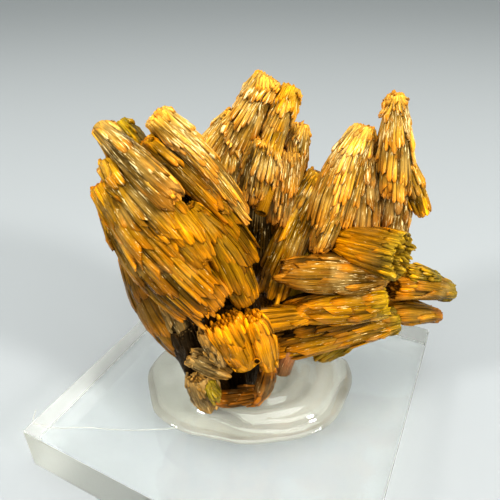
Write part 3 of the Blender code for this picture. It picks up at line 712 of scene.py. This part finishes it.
def to_mesh(name, places, faces, colours, values):
    """One mesh from many copies of a shape: places is copies x points, faces index one copy."""
    copies, count = places.shape[:2]
    turn = np.array(TO_ROW.to_3x3())
    points = (places.reshape(-1, 3) @ turn.T).astype(np.float32)
    all_faces = (faces[None] + (np.arange(copies) * count)[:, None, None]).reshape(-1, 3)
    mesh_data = bpy.data.meshes.new(name)
    mesh_data.vertices.add(len(points))
    mesh_data.vertices.foreach_set("co", points.ravel())
    mesh_data.loops.add(all_faces.size)
    mesh_data.loops.foreach_set("vertex_index", all_faces.ravel().astype(np.int32))
    mesh_data.polygons.add(len(all_faces))
    mesh_data.polygons.foreach_set("loop_start", np.arange(0, all_faces.size, 3, dtype=np.int32))
    mesh_data.update(calc_edges=True)
    layer = mesh_data.attributes.new("tint", "FLOAT_COLOR", "POINT")
    rgba_values = np.concatenate([colours.reshape(-1, 3), np.ones((len(points), 1))], axis=1)
    layer.data.foreach_set("color", rgba_values.astype(np.float32).ravel())
    for key, value in values.items():
        layer = mesh_data.attributes.new(key, "FLOAT", "POINT")
        layer.data.foreach_set("value", np.ascontiguousarray(value, dtype=np.float32).ravel())
    return mesh_data


def grow_group(name, sheaves, shapes):
    """All crystals of one group of sheaves, as a list of meshes."""
    meshes = []
    for number, shape in enumerate(shapes):
        if shape.sheaf in sheaves:
            rng = np.random.default_rng(CRYSTAL_SEED * 1000 + number)
            for places, faces, values in grow_sheaf(shape, shapes, rng):
                colours = tinted(shape.sheaf, values)
                meshes.append(to_mesh(name, places, faces, colours, values))
    return meshes


def join_meshes(name, meshes, material):
    """One object from several meshes."""
    bm = bmesh.new()
    for mesh_data in meshes:
        bm.from_mesh(mesh_data)
        bpy.data.meshes.remove(mesh_data)
    joined = bpy.data.meshes.new(name)
    bm.to_mesh(joined)
    bm.free()
    return new_object(name, joined, material)


def new_object(name, mesh_data, material):
    """An object at the origin with one material."""
    mesh_data.materials.clear()
    mesh_data.materials.append(material)
    item = bpy.data.objects.new(name, mesh_data)
    bpy.context.collection.objects.link(item)
    return item


def add_node(tree, kind, settings=None, **inputs):
    """Adds a node with its settings, and sets or links its inputs, by name or as i and a number."""
    node = tree.nodes.new(kind)
    for key, value in (settings or {}).items():
        setattr(node, key, value)
    for key, value in inputs.items():
        numbered = key[0] == "i" and key[1:].isdigit()
        socket = node.inputs[int(key[1:]) if numbered else key.replace("_", " ")]
        if isinstance(value, bpy.types.NodeSocket):
            tree.links.new(value, socket)
        else:
            socket.default_value = value
    return node


def rgba(hex_colour):
    """A hex colour for a colour socket."""
    return (*linear(hex_colour), 1.0)


def new_material(name, **settings):
    """A node material, its tree and its Principled shader, with values that are the same all over."""
    material = bpy.data.materials.new(name)
    material.use_nodes = True
    shader = material.node_tree.nodes["Principled BSDF"]
    for key, value in settings.items():
        shader.inputs[key.replace("_", " ")].default_value = value
    return material, material.node_tree, shader


def crystal_material():
    """Pyromorphite as it grew: a resinous gloss, and striations along every prism.

    Colours come from each crystal's own tint, with painted shade, sheen and glints. Strand and run are
    millimetres across and along it.
    """
    material, tree, shader = new_material("resinous pyromorphite", IOR=1.5,
                                          Specular_Tint=rgba("#F2C47A"))
    tint, strand, run, frost_and_sheen_share = (
        add_node(tree, "ShaderNodeAttribute", {"attribute_name": name})
        for name in ("tint", "strand", "run", "frost")
    )
    flow = add_node(tree, "ShaderNodeCombineXYZ", X=strand.outputs["Fac"], Y=run.outputs["Fac"])
    # Striations 0.18 mm apart and 3 mm long: real ones are finer, and these are as fine as can show
    stretched = add_node(tree, "ShaderNodeMapping", Vector=flow.outputs[0], Scale=(5.6, 0.35, 1.0))
    streaks = add_node(tree, "ShaderNodeTexNoise", Vector=stretched.outputs[0], Scale=1.0, Detail=4.0,
                       Roughness=0.6)
    light = add_node(tree, "ShaderNodeMapRange", Value=streaks.outputs["Fac"], i1=0.35, i2=0.68,
                     i3=0.55, i4=1.38)
    toned = add_node(tree, "ShaderNodeMix", {"data_type": "RGBA", "blend_type": "MULTIPLY"}, i0=1.0,
                     i6=tint.outputs["Color"], i7=light.outputs[0])
    # Pale patches about 2.4 mm wide: partly the crystals' own pale frost and partly painted highlight
    where = add_node(tree, "ShaderNodeTexCoord")
    patches = add_node(tree, "ShaderNodeTexNoise", Vector=where.outputs["Object"], Scale=420.0,
                       Detail=3.0, Roughness=0.55)
    frost = add_node(tree, "ShaderNodeMapRange", Value=patches.outputs["Fac"], i1=0.48, i2=0.66,
                     i3=0.0, i4=0.4)
    frost_and_sheen_amount = add_node(tree, "ShaderNodeMath", {"operation": "MULTIPLY"}, i0=frost.outputs[0],
                       i1=frost_and_sheen_share.outputs["Fac"])
    colour = add_node(tree, "ShaderNodeMix", {"data_type": "RGBA"}, i0=frost_and_sheen_amount.outputs[0],
                      i6=toned.outputs[2], i7=rgba("#EED08A"))
    # Painted glints along the prisms' edges, 0.15 mm wide and 1.7 mm long, closer where there is frost and
    # painted sheen
    glint_flow = add_node(tree, "ShaderNodeMapping", Vector=flow.outputs[0], Scale=(6.5, 0.6, 1.0),
                          Location=(31.0, 17.0, 5.0))
    glint_noise = add_node(tree, "ShaderNodeTexNoise", Vector=glint_flow.outputs[0], Scale=1.0,
                           Detail=3.0, Roughness=0.7)
    crowded = add_node(tree, "ShaderNodeMath", {"operation": "MULTIPLY_ADD"}, i1=0.22,
                       i0=frost_and_sheen_share.outputs["Fac"], i2=glint_noise.outputs["Fac"])
    painted_glints = add_node(tree, "ShaderNodeMapRange", Value=crowded.outputs[0], i1=0.68, i2=0.77, i3=0.0,
                      i4=0.95)
    with_painted_glints = add_node(tree, "ShaderNodeMix", {"data_type": "RGBA"}, i0=painted_glints.outputs[0],
                       i6=colour.outputs[2], i7=rgba("#F6E2AC"))
    gloss = add_node(tree, "ShaderNodeMapRange", Value=streaks.outputs["Fac"], i1=0.3, i2=0.7, i3=0.10,
                     i4=0.30)
    # Grooves along each striation, and growth steps about 0.4 mm wide
    grooves = add_node(tree, "ShaderNodeBump", Strength=0.8, Distance=0.18 * MM,
                       Height=streaks.outputs["Fac"])
    steps = add_node(tree, "ShaderNodeTexNoise", Vector=where.outputs["Object"], Scale=2600.0, Detail=2.0)
    bump = add_node(tree, "ShaderNodeBump", Strength=0.6, Distance=0.05 * MM,
                    Height=steps.outputs["Fac"], Normal=grooves.outputs[0])
    tree.links.new(with_painted_glints.outputs[2], shader.inputs["Base Color"])
    tree.links.new(gloss.outputs[0], shader.inputs["Roughness"])
    tree.links.new(bump.outputs[0], shader.inputs["Normal"])
    return material


def let_lamps_through(tree, colour):
    """Lets light from the lamps reach what lies behind a clear piece, so it casts no dark shadow."""
    path = add_node(tree, "ShaderNodeLightPath")
    open_way = add_node(tree, "ShaderNodeBsdfTransparent", Color=rgba(colour))
    mixed = add_node(tree, "ShaderNodeMixShader", i0=path.outputs["Is Shadow Ray"],
                     i1=tree.nodes["Principled BSDF"].outputs[0], i2=open_way.outputs[0])
    tree.links.new(mixed.outputs[0], tree.nodes["Material Output"].inputs["Surface"])


def acrylic_material():
    """Cast acrylic sheet: polished and clear above and below, sawn on its four sides.

    The saw leaves the sides rough and milky, so that they scatter what is seen through them.
    """
    material, tree, shader = new_material("cast acrylic, sawn sides", Transmission_Weight=1.0, IOR=1.49)
    where = add_node(tree, "ShaderNodeTexCoord")
    apart = add_node(tree, "ShaderNodeSeparateXYZ", Vector=where.outputs["Object"])
    far_x = add_node(tree, "ShaderNodeMath", {"operation": "ABSOLUTE"}, i0=apart.outputs["X"])
    far_y = add_node(tree, "ShaderNodeMath", {"operation": "ABSOLUTE"}, i0=apart.outputs["Y"])
    far = add_node(tree, "ShaderNodeMath", {"operation": "MAXIMUM"}, i0=far_x.outputs[0],
                   i1=far_y.outputs[0])
    side = add_node(tree, "ShaderNodeMapRange", Value=far.outputs[0], i1=BLOCK_HALF - 0.07 * MM,
                    i2=BLOCK_HALF - 0.03 * MM)
    # Saw marks 0.4 mm apart that run up the sides
    marks = add_node(tree, "ShaderNodeMapping", Vector=where.outputs["Object"],
                     Scale=(2600.0, 2600.0, 90.0))
    saw = add_node(tree, "ShaderNodeTexNoise", Vector=marks.outputs[0], Scale=1.0, Detail=3.0)
    milky = add_node(tree, "ShaderNodeMix", {"data_type": "RGBA"}, i0=side.outputs[0],
                     i6=rgba("#FDFEFE"), i7=rgba("#DAD9D0"))
    rough = add_node(tree, "ShaderNodeMapRange", Value=side.outputs[0], i3=0.02, i4=0.8)
    bump = add_node(tree, "ShaderNodeBump", Strength=0.3, Distance=0.03 * MM, Height=saw.outputs["Fac"])
    tree.links.new(milky.outputs[2], shader.inputs["Base Color"])
    tree.links.new(rough.outputs[0], shader.inputs["Roughness"])
    tree.links.new(bump.outputs[0], shader.inputs["Normal"])
    let_lamps_through(tree, "#DDDFDE")
    return material


def glue_material():
    """Set hot-melt glue: clear and a little milky, smooth and glossy as it cooled."""
    material, tree, shader = new_material("set hot-melt glue", Transmission_Weight=0.8, Roughness=0.04,
                                          IOR=1.52)
    # Milky clouds about 6 mm wide
    where = add_node(tree, "ShaderNodeTexCoord")
    cloud = add_node(tree, "ShaderNodeTexNoise", Vector=where.outputs["Object"], Scale=160.0, Detail=2.0)
    haze = add_node(tree, "ShaderNodeMapRange", Value=cloud.outputs["Fac"], i1=0.35, i2=0.65)
    milky = add_node(tree, "ShaderNodeMix", {"data_type": "RGBA"}, i0=haze.outputs[0],
                     i6=rgba("#E8E7DE"), i7=rgba("#D6D5CA"))
    tree.links.new(milky.outputs[2], shader.inputs["Base Color"])
    let_lamps_through(tree, "#D8D8D0")
    return material


def glue_radius(degrees):
    """The puddle's radius in a direction, in mm, with a slight wobble of its own."""
    directions, radii = zip(*GLUE_OUTLINE)
    wobble = 0.12 * math.sin(math.radians(7 * degrees)) + 0.08 * math.sin(math.radians(11 * degrees + 40))
    return float(np.interp(degrees % 360, directions, radii)) + wobble


def glue_height(share, around):
    """The puddle's height over the block in mm, at a share of its radius and a direction in radians."""
    skirt = GLUE_RIM + GLUE_SKIRT * math.sqrt(max(1 - share ** 8, 0.0))
    # The ring's outer shore lies further in on the left, where the thin skirt spreads wider
    left = 0.5 - 0.5 * math.cos(around - 0.35)
    shore = 0.93 - 0.20 * left ** 2
    rise = min(max((shore - share) / 0.14, 0.0), 1.0)
    rise = rise * rise * (3 - 2 * rise)
    swirl = GLUE_SWIRL * math.sin(share * 30 - around) * min(share / 0.3, 1.0)
    return skirt + (rise * (GLUE_RING + swirl) + GLUE_MOUND * max(0.0, 1 - share / 0.55))


def build_glue(material):
    """The puddle: a thin skirt, a thick ring round the foot, and a swirl left by the stirring."""
    rings, segments = 36, 120
    bm = bmesh.new()
    spots = [(i / rings, 1.0) for i in range(rings + 1)] + [(i / rings, 0.0) for i in range(rings, -1, -6)]
    verts = [bm.verts.new((share, 0, level)) for share, level in spots]
    edges = [bm.edges.new(pair) for pair in zip(verts, verts[1:])]
    bmesh.ops.spin(bm, geom=verts + edges, cent=(0, 0, 0), axis=(0, 0, 1), angle=math.tau, steps=segments,
                   use_merge=True)
    bmesh.ops.remove_doubles(bm, verts=bm.verts, dist=1e-5)
    for vert in bm.verts:
        share = min(math.hypot(vert.co.x, vert.co.y), 1.0)
        around = math.atan2(vert.co.y, vert.co.x)
        reach = share * glue_radius(math.degrees(around))
        height = glue_height(share, around) if vert.co.z > 0.5 else 0.0
        vert.co = Vector((
            (GLUE_CENTRE[0] + reach * math.cos(around)) * MM,
            (GLUE_CENTRE[1] + reach * math.sin(around)) * MM,
            BLOCK_THICK + (0.01 + height) * MM,
        ))
    bmesh.ops.recalc_face_normals(bm, faces=bm.faces)
    bm.transform(TO_ROW)
    mesh_data = bpy.data.meshes.new("glue_puddle")
    bm.to_mesh(mesh_data)
    bm.free()
    mesh_data.shade_smooth()
    item = new_object("glue_puddle", mesh_data, material)
    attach(item, "root")
    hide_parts("clear_glue")


def build_glue_thread(material):
    """A hair of glue that was drawn out over the block's top and hooks up at its end."""
    curve = bpy.data.curves.new("glue_thread", "CURVE")
    curve.dimensions = "3D"
    curve.bevel_depth = HAIR_RADIUS
    curve.bevel_resolution = 1
    curve.use_fill_caps = True
    spline = curve.splines.new("NURBS")
    spline.points.add(len(GLUE_HAIR) - 1)
    for point, spot in zip(spline.points, GLUE_HAIR):
        point.co = (*(value * MM for value in spot), 1.0)
    spline.order_u = 3
    spline.use_endpoint_u = True
    holder = bpy.data.objects.new("glue_thread_path", curve)
    bpy.context.collection.objects.link(holder)
    mesh_data = bpy.data.meshes.new_from_object(holder)
    bpy.data.objects.remove(holder)
    mesh_data.transform(TO_ROW)
    item = new_object("glue_thread", mesh_data, material)
    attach(item, "root")
    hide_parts("clear_glue")


def build_crystals():
    """The five groups of sheaves, each as one piece."""
    material = crystal_material()
    shapes = [Shape(sheaf) for group in GROUPS.values() for sheaf in group]
    for name, group in GROUPS.items():
        item = join_meshes(name, grow_group(name, group, shapes), material)
        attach(item, "root")
        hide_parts("crystal_cluster")


def build_floor():
    """A pale matt floor, just under the block."""
    bm = bmesh.new()
    bmesh.ops.create_grid(bm, x_segments=1, y_segments=1, size=1.5)
    bmesh.ops.translate(bm, vec=(0, 0, -0.03 * MM), verts=bm.verts)
    mesh_data = bpy.data.meshes.new("floor")
    bm.to_mesh(mesh_data)
    bm.free()
    material = new_material("pale matt floor", Base_Color=rgba("#9C9E9E"), Roughness=0.6)[0]
    new_object("floor", mesh_data, material)


def build_lights():
    """Three softboxes turned towards the specimen, in a plain pale surrounding."""
    for name, (place_at, size, power) in SOFTBOXES.items():
        light = bpy.data.lights.new(name, "AREA")
        light.shape = "SQUARE"
        light.size = size
        light.energy = power
        item = bpy.data.objects.new(name, light)
        direction = Vector((0, 0, 0.02)) - Vector(place_at)
        aim = direction.to_track_quat("-Z", "Y").to_matrix().to_4x4()
        item.matrix_world = TO_ROW @ Matrix.Translation(place_at) @ aim
        bpy.context.collection.objects.link(item)
    world = bpy.data.worlds.new("studio")
    world.use_nodes = True
    background = world.node_tree.nodes["Background"]
    background.inputs["Color"].default_value = rgba("#DDE2E2")
    background.inputs["Strength"].default_value = 0.88
    bpy.context.scene.world = world


def build_camera():
    """The camera, at the height, distance and tilt of the photograph's."""
    camera = bpy.data.cameras.new("camera")
    camera.sensor_width = 36.0
    camera.lens = CAMERA_LENS
    camera.clip_start = 2 * MM
    item = bpy.data.objects.new("camera", camera)
    pitch = Matrix.Rotation(math.radians(90 - CAMERA_DOWN), 4, "X")
    item.matrix_world = TO_ROW @ Matrix.Translation(CAMERA_PLACE) @ pitch
    bpy.context.collection.objects.link(item)
    bpy.context.scene.camera = item


# A bright picture with open shadows, like the photograph
bpy.context.scene.view_settings.view_transform = "Standard"
bpy.context.scene.view_settings.exposure = 0.40
bpy.context.scene.view_settings.gamma = 0.78
build_camera()
build_lights()
build_floor()
build_crystals()
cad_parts["acrylic_base"].material_slots[0].material = acrylic_material()
glue = glue_material()
build_glue(glue)
build_glue_thread(glue)
